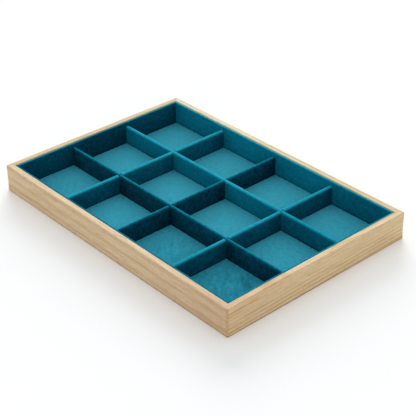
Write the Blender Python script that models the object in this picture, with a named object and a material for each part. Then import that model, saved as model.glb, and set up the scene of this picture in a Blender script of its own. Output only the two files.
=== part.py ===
"""Compartment display tray: a mitred wooden frame with a base panel let into its underside, lined with velvet
and divided by a velvet-covered egg-crate into twelve open compartments.

Units are metres. +Z is up, X runs along the long sides, and the origin is the middle of the underside."""

import math

import bmesh
import bpy
from mathutils import Matrix, Vector

# The whole tray
TRAY_LENGTH = 0.350
TRAY_WIDTH = 0.240
TRAY_HEIGHT = 0.031
COLUMNS = 4
ROWS = 3

# Clearances
FIT_GAP = 0.0003  # between pieces that slot together or stand on each other
GLUE_LINE = 0.0001  # between faces that are glued
CUT_OVERRUN = 0.001  # how far a cutter runs past what it cuts

# Wooden rails
RAIL_THICKNESS = 0.007
RAIL_CORNER_RADIUS = 0.0012  # upright edges at the tray's corners
RAIL_TOP_RADIUS = 0.0012  # outer top edge
RAIL_FOOT_RADIUS = 0.0008  # outer bottom edge
RAIL_INNER_RADIUS = 0.0005  # inner top edge

# Loose tongue inside each mitre
SPLINE_WIDTH = 0.005  # across the mitre
SPLINE_THICKNESS = 0.0015
SPLINE_MARGIN = 0.003  # wood left above and below it

# Base panel, let in under the rails
BASE_THICKNESS = 0.0022
BASE_LIP = 0.0035  # how far the panel reaches under the rails

# Brads that hold the panel
BRAD_LENGTH = 0.012
BRAD_SHANK_RADIUS = 0.0005
BRAD_HEAD_RADIUS = 0.0010
BRAD_HEAD_THICKNESS = 0.0005
BRAD_POINT_LENGTH = 0.0015
BRAD_SINK = 0.0002  # how deep the head is set below the panel's face
BRAD_CORNER_INSET = 0.030  # from the tray's corner to the first brad
BRADS_PER_LONG_RAIL = 3
BRADS_PER_SHORT_RAIL = 2

# Velvet and the boards that it covers
VELVET_THICKNESS = 0.0005
FLOOR_BOARD_THICKNESS = 0.0009
LINER_BOARD_THICKNESS = 0.0012
LINER_DROP = 0.0002  # from the rim down to the top of the lining
LINER_TURN_DOWN = 0.012  # velvet turned down behind the lining's board
DIVIDER_BOARD_THICKNESS = 0.0033
DIVIDER_DROP = 0.005  # from the rim down to the top of the dividers
SLOT_MOUTH_RADIUS = 0.0015  # rounding at the mouth of a slot in a cross divider

# Smoothness, in steps
EDGE_STEPS = 3  # round each eased edge of a rail
ARCH_STEPS = 8  # over the round top of a board or of its velvet
MOUTH_STEPS = 4  # round the mouth of a slot
BRAD_SIDES = 10
SMOOTH_ANGLE = math.radians(35)

# Worked out from the sizes above
FLOOR_BOARD_FOOT = BASE_THICKNESS + GLUE_LINE
FLOOR_VELVET_FOOT = FLOOR_BOARD_FOOT + FLOOR_BOARD_THICKNESS + GLUE_LINE
FLOOR_TOP = FLOOR_VELVET_FOOT + VELVET_THICKNESS
STANDING_FOOT = FLOOR_TOP + FIT_GAP  # of the linings and dividers
REBATE_HEIGHT = BASE_THICKNESS + GLUE_LINE
COVER_BUILD_UP = GLUE_LINE + VELVET_THICKNESS  # what the velvet adds to one side of a board
LINER_THICKNESS = LINER_BOARD_THICKNESS + 2 * COVER_BUILD_UP
LINER_TOP = TRAY_HEIGHT - LINER_DROP
DIVIDER_THICKNESS = DIVIDER_BOARD_THICKNESS + 2 * COVER_BUILD_UP
DIVIDER_TOP = TRAY_HEIGHT - DIVIDER_DROP
LAP_HEIGHT = (STANDING_FOOT + DIVIDER_TOP) / 2  # where crossing dividers meet
INNER_LENGTH = TRAY_LENGTH - 2 * RAIL_THICKNESS
INNER_WIDTH = TRAY_WIDTH - 2 * RAIL_THICKNESS
LINED_LENGTH = INNER_LENGTH - 2 * (GLUE_LINE + LINER_THICKNESS)
LINED_WIDTH = INNER_WIDTH - 2 * (GLUE_LINE + LINER_THICKNESS)

# Each side of the tray: name, length of the rail, distance of its outer face from the middle, and its turn
SIDES = (
    ("front", TRAY_LENGTH, TRAY_WIDTH / 2, 0),
    ("right", TRAY_WIDTH, TRAY_LENGTH / 2, math.radians(90)),
    ("back", TRAY_LENGTH, TRAY_WIDTH / 2, math.radians(180)),
    ("left", TRAY_WIDTH, TRAY_LENGTH / 2, math.radians(270)),
)


def clear_scene():
    for obj in list(bpy.data.objects):
        bpy.data.objects.remove(obj, do_unlink=True)


def finish(name, colour, roughness, metallic=0.0):
    material = bpy.data.materials.new(name)
    material.use_nodes = True
    shader = material.node_tree.nodes["Principled BSDF"]
    shader.inputs["Base Color"].default_value = (*colour, 1.0)
    shader.inputs["Roughness"].default_value = roughness
    shader.inputs["Metallic"].default_value = metallic
    return material


def group(name):
    """An empty that the pieces of one assembly hang from."""
    empty = bpy.data.objects.new(name, None)
    bpy.context.scene.collection.objects.link(empty)
    return empty


def piece(name, mesh, material, parent, place=(0, 0, 0), turn=0):
    obj = bpy.data.objects.new(name, mesh)
    bpy.context.scene.collection.objects.link(obj)
    obj.location = place
    obj.rotation_euler.z = turn
    obj.parent = parent
    mesh.shade_smooth()
    mesh.set_sharp_from_angle(angle=SMOOTH_ANGLE)
    if material:
        mesh.materials.append(material)
    return obj


def cutter(name, mesh, place=(0, 0, 0), turn=0):
    obj = piece(name, mesh, None, None, place, turn)
    obj.hide_render = True
    obj.display_type = "WIRE"
    return obj


def cut(obj, tool, operation="DIFFERENCE"):
    modifier = obj.modifiers.new("cut_" + tool.name, "BOOLEAN")
    modifier.operation = operation
    modifier.solver = "EXACT"
    modifier.object = tool


def mesh_of(name, shape):
    bmesh.ops.recalc_face_normals(shape, faces=shape.faces)
    mesh = bpy.data.meshes.new(name)
    shape.to_mesh(mesh)
    shape.free()
    return mesh


def draw_out(shape, outline, run):
    """Adds the solid that a flat outline of (x, y, z) points sweeps along a straight run."""
    first = shape.faces.new([shape.verts.new(point) for point in outline])
    drawn = bmesh.ops.extrude_face_region(shape, geom=[first])
    moved = [item for item in drawn["geom"] if isinstance(item, bmesh.types.BMVert)]
    bmesh.ops.translate(shape, verts=moved, vec=Vector(run))


def bar_mesh(name, outline, length, mitred=False):
    """An outline of (y, z) points drawn out along X. A mitred bar loses length inwards, as y grows."""
    shape = bmesh.new()
    draw_out(shape, [(-length / 2, y, z) for y, z in outline], (length, 0, 0))
    if mitred:
        for vertex in shape.verts:
            vertex.co.x -= math.copysign(vertex.co.y, vertex.co.x)
    return mesh_of(name, shape)


def box_into(shape, size, centre):
    bmesh.ops.create_cube(shape, size=1, matrix=Matrix.Translation(centre) @ Matrix.Diagonal((*size, 1)))


def board_mesh(name, length, width, foot, thickness):
    shape = bmesh.new()
    box_into(shape, (length, width, thickness), (0, 0, foot + thickness / 2))
    return mesh_of(name, shape)


def rounded(corners, steps):
    """A flat outline with its square corners rounded. Each corner is its two coordinates and a radius."""
    points = []
    for index, (across, along, radius) in enumerate(corners):
        corner = Vector((across, along))
        if radius == 0:
            points.append(tuple(corner))
            continue
        back = (Vector(corners[index - 1][:2]) - corner).normalized()
        ahead = (Vector(corners[(index + 1) % len(corners)][:2]) - corner).normalized()
        centre = corner + radius * (back + ahead)
        for step in range(steps + 1):
            angle = math.pi / 2 * step / steps
            points.append(tuple(centre - radius * (ahead * math.cos(angle) + back * math.sin(angle))))
    return points


def arch(thickness, top, near_foot, far_foot):
    """Points up the near side of a round-topped slab, over its top and down its far side."""
    radius = thickness / 2
    spring = top - radius
    angles = [math.pi * step / ARCH_STEPS for step in range(ARCH_STEPS + 1)]
    over = [(-radius * math.cos(angle), spring + radius * math.sin(angle)) for angle in angles]
    return [(-radius, near_foot), *over, (radius, far_foot)]


def board_outline(thickness, top):
    return arch(thickness, top - COVER_BUILD_UP, STANDING_FOOT, STANDING_FOOT)


def cover_outline(board_thickness, top, near_foot=STANDING_FOOT):
    """Velvet over a board: up one side, over the top and down the other, one thickness all the way."""
    inner = board_thickness + 2 * GLUE_LINE
    outside = arch(inner + 2 * VELVET_THICKNESS, top, near_foot, STANDING_FOOT)
    inside = arch(inner, top - VELVET_THICKNESS, near_foot, STANDING_FOOT)
    return outside + inside[::-1]


def spread(count, span):
    """The middles of a number of places spread evenly over a span, the first and last at its ends."""
    return [span * (index / (count - 1) - 0.5) for index in range(count)]


def divider_places(bays, lined, thickness):
    """Where the dividers stand that cut a lined length into equal bays."""
    bay = (lined - (bays - 1) * thickness) / bays
    return spread(bays - 1, (bays - 2) * (bay + thickness))


def rail_outline():
    """From the outer face, y = 0, to the inner face, with the rebate for the panel at its foot."""
    rebate = RAIL_THICKNESS - BASE_LIP
    return rounded(
        [
            (0, 0, RAIL_FOOT_RADIUS),
            (rebate, 0, 0),
            (rebate, REBATE_HEIGHT, 0),
            (RAIL_THICKNESS, REBATE_HEIGHT, 0),
            (RAIL_THICKNESS, TRAY_HEIGHT, RAIL_INNER_RADIUS),
            (0, TRAY_HEIGHT, RAIL_TOP_RADIUS),
        ],
        EDGE_STEPS,
    )


def tray_outline_mesh():
    """The tray seen from above, with its four upright edges rounded, as a block that the rails are cut to."""
    half_length = TRAY_LENGTH / 2
    half_width = TRAY_WIDTH / 2
    corners = [(-half_length, -half_width), (half_length, -half_width),
               (half_length, half_width), (-half_length, half_width)]
    outline = rounded([(*corner, RAIL_CORNER_RADIUS) for corner in corners], EDGE_STEPS)
    shape = bmesh.new()
    draw_out(shape, [(x, y, -CUT_OVERRUN) for x, y in outline], (0, 0, TRAY_HEIGHT + 2 * CUT_OVERRUN))
    return mesh_of("tray_outline", shape)


def side_place(reach, turn):
    """A point at this distance from the tray's middle, on the side that this turn names."""
    return (reach * math.sin(turn), -reach * math.cos(turn), 0)


def spline_places():
    """The middle of each corner's mitre, with its name and the turn that sets a tongue across it."""
    middle = RAIL_THICKNESS / 2
    for end, y_side in (("front", -1), ("back", 1)):
        for hand, x_side in (("left", -1), ("right", 1)):
            place = Vector((x_side * (TRAY_LENGTH / 2 - middle), y_side * (TRAY_WIDTH / 2 - middle), 0))
            yield f"{end}_{hand}", place, math.radians(-45) * x_side * y_side


def spline_mesh(name, clearance=0.0):
    """A tongue, or with a clearance the pocket that it lies in."""
    foot = REBATE_HEIGHT + SPLINE_MARGIN - clearance
    top = TRAY_HEIGHT - SPLINE_MARGIN + clearance
    shape = bmesh.new()
    size = (SPLINE_WIDTH + 2 * clearance, SPLINE_THICKNESS + 2 * clearance, top - foot)
    box_into(shape, size, (0, 0, (foot + top) / 2))
    return mesh_of(name, shape)


def brad_outline(clearance=0.0):
    """Half of a brad's section as (radius, height), from the middle of its head to its point."""
    head = BRAD_HEAD_RADIUS + clearance
    shank = BRAD_SHANK_RADIUS + clearance
    under_head = BRAD_SINK + BRAD_HEAD_THICKNESS + clearance
    tip = BRAD_SINK + BRAD_LENGTH + clearance
    foot = BRAD_SINK if clearance == 0 else -CUT_OVERRUN
    return [(0, foot), (head, foot), (head, under_head), (shank, under_head),
            (shank, tip - BRAD_POINT_LENGTH), (0, tip)]


def turned_mesh(name, outline):
    """An outline of (radius, height) points turned about Z."""
    shape = bmesh.new()
    points = [shape.verts.new((radius, 0, height)) for radius, height in outline]
    edges = [shape.edges.new(pair) for pair in zip(points, points[1:])]
    bmesh.ops.spin(shape, geom=points + edges, axis=(0, 0, 1), cent=(0, 0, 0), angle=math.tau,
                   steps=BRAD_SIDES, use_merge=True)
    bmesh.ops.remove_doubles(shape, verts=shape.verts, dist=BRAD_SHANK_RADIUS / 100)
    return mesh_of(name, shape)


def brad_places():
    """The middle of each brad, half way across the lip of the panel."""
    inset = RAIL_THICKNESS - BASE_LIP / 2
    for _, length, reach, turn in SIDES:
        count = BRADS_PER_LONG_RAIL if length == TRAY_LENGTH else BRADS_PER_SHORT_RAIL
        out = Vector(side_place(reach - inset, turn))
        along = Vector((math.cos(turn), math.sin(turn), 0))
        for offset in spread(count, length - 2 * BRAD_CORNER_INSET):
            yield out + along * offset


def slot_outline(from_top):
    """A slot as seen along the divider that stands in it, as (x, z) points. A slot from the top has a
    rounded mouth, so that the velvet ends in a soft shoulder on each side of it."""
    half = DIVIDER_THICKNESS / 2 + FIT_GAP
    if not from_top:
        end = LAP_HEIGHT + FIT_GAP / 2
        foot = STANDING_FOOT - CUT_OVERRUN
        return [(-half, foot), (half, foot), (half, end), (-half, end)]
    end = LAP_HEIGHT - FIT_GAP / 2
    angles = [math.pi / 2 * step / MOUTH_STEPS for step in range(MOUTH_STEPS + 1)]
    mouth = [
        (half + SLOT_MOUTH_RADIUS * (1 - math.cos(angle)), DIVIDER_TOP - SLOT_MOUTH_RADIUS * (1 - math.sin(angle)))
        for angle in angles
    ]
    right = [(half, end), *mouth, (mouth[-1][0], DIVIDER_TOP + CUT_OVERRUN)]
    return right + [(-x, z) for x, z in reversed(right)]


def slots_mesh(name, outline, places):
    """One cutter for all the slots of a divider, each as deep as its thickness and more."""
    depth = DIVIDER_THICKNESS + 2 * CUT_OVERRUN
    shape = bmesh.new()
    for place in places:
        draw_out(shape, [(place + x, -depth / 2, z) for x, z in outline], (0, depth, 0))
    return mesh_of(name, shape)


def make_frame(parent, wood, tongue_wood, panel_fibre, steel):
    pocket_shape = bmesh.new()
    for name, place, turn in spline_places():
        piece("corner_spline_" + name, spline_mesh("corner_spline"), tongue_wood, parent, place, turn)
        pocket = spline_mesh("pocket", GLUE_LINE)
        pocket.transform(Matrix.Translation(place) @ Matrix.Rotation(turn, 4, "Z"))
        pocket_shape.from_mesh(pocket)
    pockets = cutter("spline_pockets", mesh_of("spline_pockets", pocket_shape))

    hole_shape = bmesh.new()
    for number, place in enumerate(brad_places(), start=1):
        brad = turned_mesh("base_brad", brad_outline())
        piece(f"base_brad_{number:02}", brad, steel, parent, place)
        hole = turned_mesh("hole", brad_outline(GLUE_LINE))
        hole.transform(Matrix.Translation(place))
        hole_shape.from_mesh(hole)
    holes = cutter("brad_holes", mesh_of("brad_holes", hole_shape))

    outline = cutter("tray_outline", tray_outline_mesh())
    for name, length, reach, turn in SIDES:
        mesh = bar_mesh("rail", rail_outline(), length - 2 * GLUE_LINE, mitred=True)
        rail = piece("rail_" + name, mesh, wood, parent, side_place(reach, turn), turn)
        cut(rail, outline, "INTERSECT")
        cut(rail, pockets)
        cut(rail, holes)

    room = 2 * (BASE_LIP - FIT_GAP)
    mesh = board_mesh("base_panel", INNER_LENGTH + room, INNER_WIDTH + room, 0, BASE_THICKNESS)
    cut(piece("base_panel", mesh, panel_fibre, parent), holes)


def make_floor(parent, card, velvet):
    length = INNER_LENGTH - 2 * FIT_GAP
    width = INNER_WIDTH - 2 * FIT_GAP
    board = board_mesh("floor_board", length, width, FLOOR_BOARD_FOOT, FLOOR_BOARD_THICKNESS)
    piece("floor_board", board, card, parent)
    cloth = board_mesh("floor_velvet", length, width, FLOOR_VELVET_FOOT, VELVET_THICKNESS)
    piece("floor_velvet", cloth, velvet, parent)


def make_linings(parent, card, velvet):
    """The long linings run from rail to rail, and the short ones fit between them."""
    for name, length, reach, turn in SIDES:
        inner = INNER_LENGTH if length == TRAY_LENGTH else LINED_WIDTH
        run = inner - 2 * FIT_GAP
        place = side_place(reach - RAIL_THICKNESS - GLUE_LINE - LINER_THICKNESS / 2, turn)
        board = bar_mesh("liner_board", board_outline(LINER_BOARD_THICKNESS, LINER_TOP), run)
        piece("liner_board_" + name, board, card, parent, place, turn)
        outline = cover_outline(LINER_BOARD_THICKNESS, LINER_TOP, LINER_TOP - LINER_TURN_DOWN)
        piece("liner_velvet_" + name, bar_mesh("liner_velvet", outline, run), velvet, parent, place, turn)


def make_divider(name, number, parent, card, velvet, length, place, turn, slots):
    board = bar_mesh(name + "_board", board_outline(DIVIDER_BOARD_THICKNESS, DIVIDER_TOP), length)
    cover = bar_mesh(name + "_velvet", cover_outline(DIVIDER_BOARD_THICKNESS, DIVIDER_TOP), length)
    tool = cutter(f"{name}_slots_{number}", slots, place, turn)
    cut(piece(f"{name}_board_{number}", board, card, parent, place, turn), tool)
    cut(piece(f"{name}_velvet_{number}", cover, velvet, parent, place, turn), tool)


def make_grid(parent, card, velvet):
    """Long dividers are slotted from below and cross dividers from the top, so the long ones run on over
    the crossings."""
    column_places = divider_places(COLUMNS, LINED_LENGTH, DIVIDER_THICKNESS)
    row_places = divider_places(ROWS, LINED_WIDTH, DIVIDER_THICKNESS)
    for number, y in enumerate(row_places, start=1):
        slots = slots_mesh("long_slots", slot_outline(from_top=False), column_places)
        make_divider("long_divider", number, parent, card, velvet, LINED_LENGTH - 2 * FIT_GAP,
                     (0, y, 0), 0, slots)
    for number, x in enumerate(column_places, start=1):
        slots = slots_mesh("cross_slots", slot_outline(from_top=True), row_places)
        make_divider("cross_divider", number, parent, card, velvet, LINED_WIDTH - 2 * FIT_GAP,
                     (x, 0, 0), math.radians(90), slots)


def main():
    clear_scene()
    wood = finish("pale_wood", (0.72, 0.58, 0.42), 0.55)
    tongue_wood = finish("tongue_wood", (0.62, 0.47, 0.31), 0.65)
    panel_fibre = finish("panel_fibre", (0.35, 0.24, 0.15), 0.70)
    card = finish("grey_card", (0.33, 0.32, 0.30), 0.85)
    velvet = finish("teal_velvet", (0.02, 0.20, 0.27), 0.90)
    steel = finish("bright_steel", (0.60, 0.60, 0.62), 0.30, metallic=1.0)

    tray = group("tray")
    frame = group("frame")
    lining = group("lining")
    frame.parent = tray
    lining.parent = tray
    make_frame(frame, wood, tongue_wood, panel_fibre, steel)
    make_floor(lining, card, velvet)
    make_linings(lining, card, velvet)
    make_grid(lining, card, velvet)


main()
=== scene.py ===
# %% [markdown]
# A velvet-lined compartment tray, from bare model to finished picture
#
# Shops lay out rings, beads and charms in trays like this one. A pale wooden frame, mitred at its
# corners, holds a lining of blue-green velvet: a floor, four walls, and a grid of two long and three
# cross dividers that makes twelve equal open compartments.
#
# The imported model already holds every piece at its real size. This lesson keeps those places and makes
# what the eye sees: rails with eased edges and a grain that follows each piece of wood, cloth that rolls
# over the top of each board, and the light that shows them. Lengths are in metres, +Z is up and the tray
# stands on Z = 0.

import math

import bmesh
import bpy
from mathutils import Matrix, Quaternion, Vector


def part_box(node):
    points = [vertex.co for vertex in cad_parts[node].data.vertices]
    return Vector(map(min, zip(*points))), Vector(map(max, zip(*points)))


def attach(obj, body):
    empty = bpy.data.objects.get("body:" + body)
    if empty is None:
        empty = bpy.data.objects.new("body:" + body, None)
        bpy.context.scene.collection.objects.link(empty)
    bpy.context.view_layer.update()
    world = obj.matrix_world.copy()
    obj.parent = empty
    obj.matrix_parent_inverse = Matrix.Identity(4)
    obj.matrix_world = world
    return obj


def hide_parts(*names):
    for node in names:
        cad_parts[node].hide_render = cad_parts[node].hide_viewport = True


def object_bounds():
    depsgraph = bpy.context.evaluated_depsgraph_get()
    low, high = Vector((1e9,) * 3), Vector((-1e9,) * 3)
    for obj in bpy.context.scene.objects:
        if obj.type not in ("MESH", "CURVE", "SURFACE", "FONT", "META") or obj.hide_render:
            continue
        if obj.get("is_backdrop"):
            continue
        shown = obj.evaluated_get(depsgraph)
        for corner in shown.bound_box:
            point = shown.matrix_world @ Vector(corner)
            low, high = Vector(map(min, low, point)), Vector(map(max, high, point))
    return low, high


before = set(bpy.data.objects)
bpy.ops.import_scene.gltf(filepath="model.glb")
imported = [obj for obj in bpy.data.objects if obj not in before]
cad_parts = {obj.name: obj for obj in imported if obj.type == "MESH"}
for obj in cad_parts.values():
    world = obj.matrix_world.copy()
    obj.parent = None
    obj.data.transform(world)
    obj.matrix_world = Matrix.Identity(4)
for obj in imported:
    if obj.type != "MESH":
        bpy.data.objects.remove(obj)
CAD_LOW, CAD_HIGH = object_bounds()
MM = 0.001


def in_mm(lengths, digits=1):
    """Lengths as rounded millimetres, to print."""
    return [round(length / MM, digits) for length in lengths]


print("CAD nodes:", len(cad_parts))
print("Tray, in mm:", in_mm(CAD_HIGH - CAD_LOW))

# %% [markdown]
# Camera
#
# A camera can be placed by eye, or worked out from the straight edges of the thing it looks at. Ten edges
# of the rails gave this one: its place, the point it looks at on the ground, a lean of 0.6 degrees, and
# the long lens of a product picture. A long lens keeps the near and the far rail almost alike in size.

# %% Camera
CAMERA_PLACE = Vector((0.7800, -0.6773, 0.6469))
CAMERA_AIM = Vector((-0.0010, 0.0141, 0.0))
CAMERA_LEAN = math.radians(-0.587)
CAMERA_LENS_MM = 100.66

camera = bpy.data.objects.new("camera", bpy.data.cameras.new("camera"))
bpy.context.scene.collection.objects.link(camera)
bpy.context.scene.camera = camera
camera.data.lens = CAMERA_LENS_MM
camera.location = CAMERA_PLACE
camera.rotation_mode = "QUATERNION"
looking = (CAMERA_AIM - CAMERA_PLACE).to_track_quat("-Z", "Y")
camera.rotation_quaternion = looking @ Quaternion((0, 0, 1), CAMERA_LEAN)
print("Camera distance, in m:", round((CAMERA_AIM - CAMERA_PLACE).length, 3))

# %% [markdown]
# Selecting by place
#
# By hand one clicks on a face or an edge. In a script the same choice is a question asked of each one:
# where is it, and which way does it look? `choose_faces` and `choose_edges` ask it, and leave selected
# what answers yes. Everything is put down before a new shape is started, because an operator works on all
# that is selected.

# %% Helpers: pick up and put down
TINY = 0.01 * MM
MERGE_WITHIN = 0.001 * MM
MOSTLY = 0.9


def put_down():
    """Leaves edit mode and deselects everything."""
    if bpy.context.mode != "OBJECT":
        bpy.ops.object.mode_set(mode="OBJECT")
    bpy.ops.object.select_all(action="DESELECT")


def pick_up(obj):
    """Makes one object the selected and active one."""
    put_down()
    obj.select_set(True)
    bpy.context.view_layer.objects.active = obj
    return obj


def open_up(obj):
    """Enters edit mode on one object."""
    pick_up(obj)
    bpy.ops.object.mode_set(mode="EDIT")


def settle(name):
    """Names the active object and writes its place, turn and scale into its mesh."""
    obj = bpy.context.active_object
    obj.name = name
    obj.data.name = name
    bpy.ops.object.transform_apply(location=True, rotation=True, scale=True)
    return obj


def copy_of(obj, name):
    """A copy with a mesh of its own, picked up."""
    twin = obj.copy()
    twin.data = obj.data.copy()
    twin.name = name
    twin.data.name = name
    bpy.context.scene.collection.objects.link(twin)
    return pick_up(twin)


def throw_away(*objects):
    for obj in objects:
        bpy.data.objects.remove(obj, do_unlink=True)


# %% Helpers: choose by place, and shape


def choose_faces(test):
    """Selects the faces whose middle and normal pass a test."""
    bpy.ops.mesh.select_mode(type="FACE")
    bpy.ops.mesh.select_all(action="DESELECT")
    mesh = bpy.context.edit_object.data
    shape = bmesh.from_edit_mesh(mesh)
    for face in shape.faces:
        face.select_set(test(face.calc_center_median(), face.normal))
    bmesh.update_edit_mesh(mesh)


def looks_up(middle, normal):
    return normal.z > MOSTLY


def looks_down(middle, normal):
    return normal.z < -MOSTLY


def choose_edges(test):
    """Selects the edges whose two ends pass a test."""
    bpy.ops.mesh.select_mode(type="EDGE")
    bpy.ops.mesh.select_all(action="DESELECT")
    mesh = bpy.context.edit_object.data
    shape = bmesh.from_edit_mesh(mesh)
    for edge in shape.edges:
        edge.select_set(test(edge.verts[0].co, edge.verts[1].co))
    bmesh.update_edit_mesh(mesh)


def extrude_by(x=0, y=0, z=0):
    bpy.ops.mesh.extrude_region_move(TRANSFORM_OT_translate={"value": (x, y, z)})


def close_up():
    """Merges doubles and turns all faces outwards, then leaves edit mode."""
    bpy.ops.mesh.select_all(action="SELECT")
    bpy.ops.mesh.remove_doubles(threshold=MERGE_WITHIN)
    bpy.ops.mesh.normals_make_consistent(inside=False)
    put_down()


def apply_modifier(obj, kind, **settings):
    """Adds one modifier to an object and applies it."""
    pick_up(obj)
    modifier = obj.modifiers.new(kind.lower(), kind)
    for name, value in settings.items():
        setattr(modifier, name, value)
    bpy.ops.object.modifier_apply(modifier=modifier.name)


def cut_with(obj, tool):
    apply_modifier(obj, "BOOLEAN", operation="DIFFERENCE", solver="EXACT", object=tool)


# %% [markdown]
# Measures taken from the model
#
# The rails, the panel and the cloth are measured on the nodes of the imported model, so a change of the
# model carries through to the picture. Only three small distances that no single node shows are written
# down: the line of glue, the gap between pieces that aren't glued, and the thickness of the velvet.

# %% Measures
HALF_LENGTH, HALF_WIDTH, HEIGHT = CAD_HIGH
GLUE_LINE = 0.1 * MM
FIT_GAP = 0.3 * MM
VELVET = 0.5 * MM
FRONT_LOW, FRONT_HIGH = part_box("rail_front")
PANEL_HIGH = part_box("base_panel")[1]
RAIL = FRONT_HIGH.y - FRONT_LOW.y
LIP = PANEL_HIGH.x + FIT_GAP - (HALF_LENGTH - RAIL)
REBATE = PANEL_HIGH.z + GLUE_LINE
SIDES = {"front": 0, "right": 90, "back": 180, "left": 270}
print("Rail, lip and rebate, in mm:", in_mm((RAIL, LIP, REBATE)))


def side_ways(side):
    """The directions along a side of the tray and out from it, with how far out its face is."""
    turn = math.radians(SIDES[side])
    along = Vector((math.cos(turn), math.sin(turn), 0))
    out = Vector((math.sin(turn), -math.cos(turn), 0))
    reach = HALF_WIDTH if side in ("front", "back") else HALF_LENGTH
    return along, out, reach


def middle_of(node):
    low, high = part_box(node)
    return (low + high) / 2


# %% [markdown]
# The wooden frame, as one ring
#
# A joiner planes one long moulding and cuts the four rails from it, so their edges match at each corner.
# The model is made the same way. Four bars could be built one by one, but their rounded edges would have
# to be matched at each mitre. So a block gets its opening by insets from above and below and a bridge
# between them, its edges are rounded while it is whole, and only then is the ring cut into rails.

# %% A ring with a rebate under it


def make_ring():
    put_down()
    bpy.ops.mesh.primitive_cube_add(size=1, location=(CAD_LOW + CAD_HIGH) / 2, scale=CAD_HIGH - CAD_LOW)
    ring = settle("rail_ring")
    open_up(ring)
    choose_faces(looks_up)
    bpy.ops.mesh.inset(thickness=RAIL)
    choose_faces(looks_down)
    bpy.ops.mesh.inset(thickness=LIP)
    extrude_by(z=REBATE)
    bpy.ops.mesh.inset(thickness=RAIL - LIP)
    choose_faces(lambda middle, normal: abs(normal.z) > MOSTLY and middle.xy.length < TINY)
    bpy.ops.mesh.bridge_edge_loops()
    put_down()
    return ring


ring = make_ring()
print("Ring faces:", len(ring.data.polygons))

# %% Round its edges
EDGE_RADIUS = 1.2 * MM
EDGE_STEPS = 6
FOOT_RADIUS = 1.3 * MM
INNER_RADIUS = 0.5 * MM
SMALL_EDGE_STEPS = 4


def depth(point):
    """How far a point is inside the tray's outer faces."""
    return min(HALF_LENGTH - abs(point.x), HALF_WIDTH - abs(point.y))


def on_arris(point):
    return max(HALF_LENGTH - abs(point.x), HALF_WIDTH - abs(point.y)) < TINY


def on_rim(point, inside):
    return point.z > HEIGHT - TINY and abs(depth(point) - inside) < TINY


def round_ring(ring):
    open_up(ring)
    choose_edges(lambda a, b: (on_rim(a, 0) and on_rim(b, 0)) or (on_arris(a) and on_arris(b)))
    bpy.ops.mesh.bevel(offset=EDGE_RADIUS, segments=EDGE_STEPS, affect="EDGES")
    choose_edges(lambda a, b: max(a.z, b.z) < TINY and max(depth(a), depth(b)) < EDGE_RADIUS)
    bpy.ops.mesh.bevel(offset=FOOT_RADIUS, segments=SMALL_EDGE_STEPS, affect="EDGES")
    choose_edges(lambda a, b: on_rim(a, RAIL) and on_rim(b, RAIL))
    bpy.ops.mesh.bevel(offset=INNER_RADIUS, segments=SMALL_EDGE_STEPS, affect="EDGES")
    put_down()


round_ring(ring)
print("Ring faces, with its edges rounded:", len(ring.data.polygons))

# %% [markdown]
# Hidden joinery: tongues and brads
#
# A mitre that is only glued opens in time, so a thin tongue of wood lies across each one inside, and ten
# brads hold the panel up into the rails. The tongues are taken from the model as they are. A brad could
# be a plain cylinder, but its head shows on the underside, so one is shaped with an eased head and a
# drawn point, and copied.

# %% One brad, and its copies
BRAD_SHANK_RADIUS = 0.5 * MM
BRAD_HEAD_THICKNESS = 0.5 * MM
BRAD_POINT = 1.5 * MM
BRAD_SIDES = 24
BRAD_NODES = sorted(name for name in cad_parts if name.startswith("base_brad"))


def make_brad(node):
    low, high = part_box(node)
    radius = (high.x - low.x) / 2
    head_middle = Vector((*middle_of(node).xy, low.z + BRAD_HEAD_THICKNESS / 2))
    put_down()
    bpy.ops.mesh.primitive_cylinder_add(vertices=BRAD_SIDES, radius=radius, depth=BRAD_HEAD_THICKNESS,
                                        location=head_middle)
    brad = settle("brad")
    open_up(brad)
    choose_edges(lambda a, b: max(a.z, b.z) < low.z + TINY)
    bpy.ops.mesh.bevel(offset=BRAD_HEAD_THICKNESS / 3, segments=3, affect="EDGES")
    choose_faces(looks_up)
    bpy.ops.mesh.inset(thickness=radius - BRAD_SHANK_RADIUS)
    extrude_by(z=high.z - low.z - BRAD_HEAD_THICKNESS - BRAD_POINT)
    extrude_by(z=BRAD_POINT)
    bpy.ops.mesh.merge(type="CENTER")
    put_down()
    return brad


brads = {BRAD_NODES[0]: make_brad(BRAD_NODES[0])}
for node in BRAD_NODES[1:]:
    brads[node] = copy_of(brads[BRAD_NODES[0]], "brad")
    brads[node].location = middle_of(node) - middle_of(BRAD_NODES[0])
    settle("brad")
print("Brads:", len(brads))

# %% [markdown]
# Cutting the ring into rails
#
# Each rail is a copy of the ring, cut twice through the corners at forty-five degrees with a bisect that
# closes the cut. The pockets for the tongues and the holes for the brads are then taken out with grown
# copies of the pieces themselves, so each piece has its own room in the wood.

# %% Grown copies to cut room with


def make_room_cutter(obj, by):
    """A copy of a piece, merged and grown on all sides."""
    cutter = copy_of(obj, "room_cutter")
    open_up(cutter)
    bpy.ops.mesh.select_all(action="SELECT")
    bpy.ops.mesh.remove_doubles(threshold=MERGE_WITHIN)
    bpy.ops.transform.shrink_fatten(value=by, use_even_offset=True)
    put_down()
    return cutter


tongues = [node for name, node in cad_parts.items() if name.startswith("corner_spline")]
room_cutters = [make_room_cutter(piece, GLUE_LINE / 2) for piece in [*tongues, *brads.values()]]
print("Rooms to cut:", len(room_cutters))
pick_up(room_cutters[0])
for cutter in room_cutters:
    cutter.select_set(True)
bpy.ops.object.join()
rooms = settle("rooms")

# %% Four rails
MITRE_LINE = 0.03 * MM


def cut_mitre(corner, away):
    """Cuts off what lies past an upright plane through a corner, and closes the cut."""
    bpy.ops.mesh.select_all(action="SELECT")
    on_plane = corner - away * MITRE_LINE / 2
    bpy.ops.mesh.bisect(plane_co=on_plane, plane_no=away, use_fill=True, clear_outer=True)


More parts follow.
